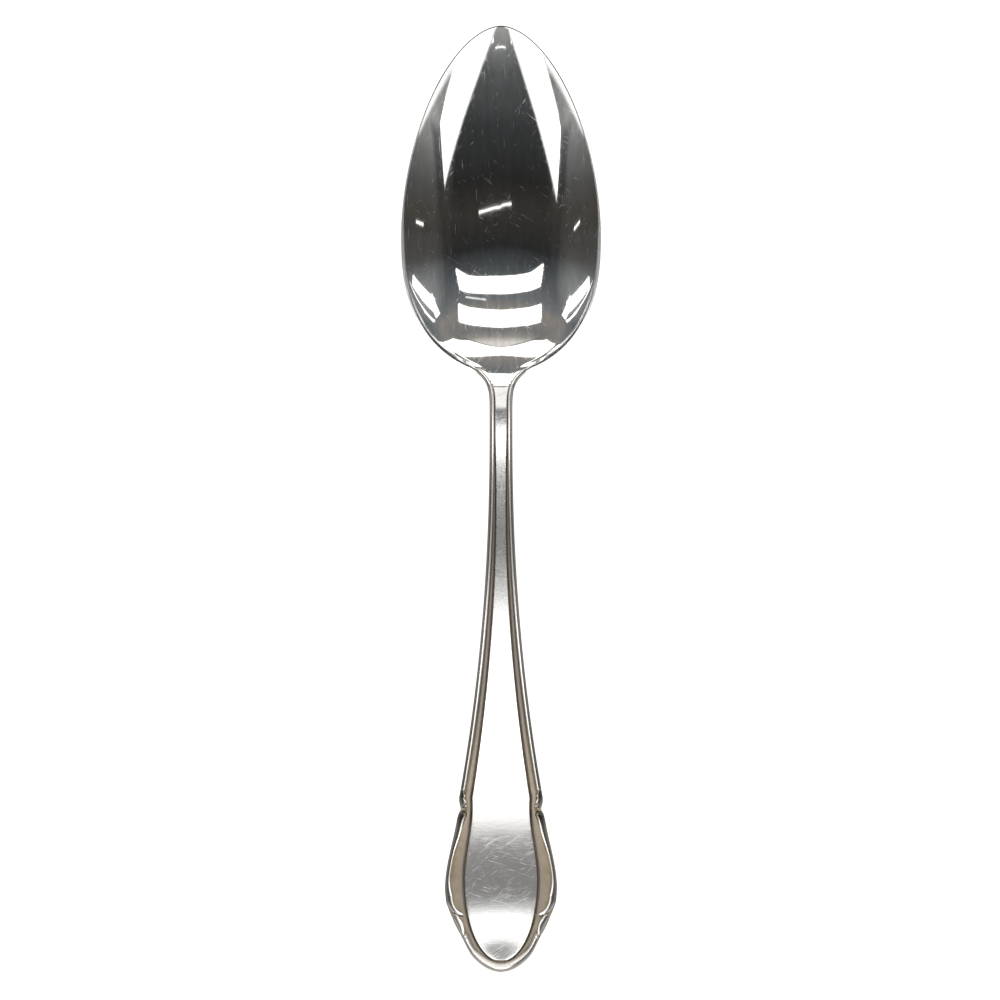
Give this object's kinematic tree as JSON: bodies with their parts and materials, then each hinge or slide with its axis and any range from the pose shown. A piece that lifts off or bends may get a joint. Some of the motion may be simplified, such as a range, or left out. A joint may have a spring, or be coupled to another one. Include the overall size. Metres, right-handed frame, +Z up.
{
  "type": "dessert spoon",
  "caption": "Silver-plated dessert spoon: pointed egg-shaped bowl, slim arched stem and a widening handle with a thread-and-scroll border round a flat panel.",
  "frame": {"origin": "on the table that the spoon lies on, under the middle of its length and width", "axes": "+X across the spoon, +Y along it towards the tip of the bowl, +Z up, out of the bowl"},
  "size_m": [0.038, 0.18, 0.0135],
  "materials": {
    "polished_silver": "mirror polish with fine scratches",
    "worn_silver": "polish worn to a satin, with tarnish in the channels",
    "thread_silver": "polish rounded by wear"
  },
  "bodies": {
    "root": {"bowl": "polished_silver", "handle": "worn_silver", "stem_thread_left": "thread_silver", "stem_thread_right": "thread_silver", "lobe_thread_left": "thread_silver", "lobe_thread_right": "thread_silver", "leaf_scroll_left": "thread_silver", "leaf_scroll_right": "thread_silver", "end_thread": "thread_silver"}
  },
  "joints": []
}
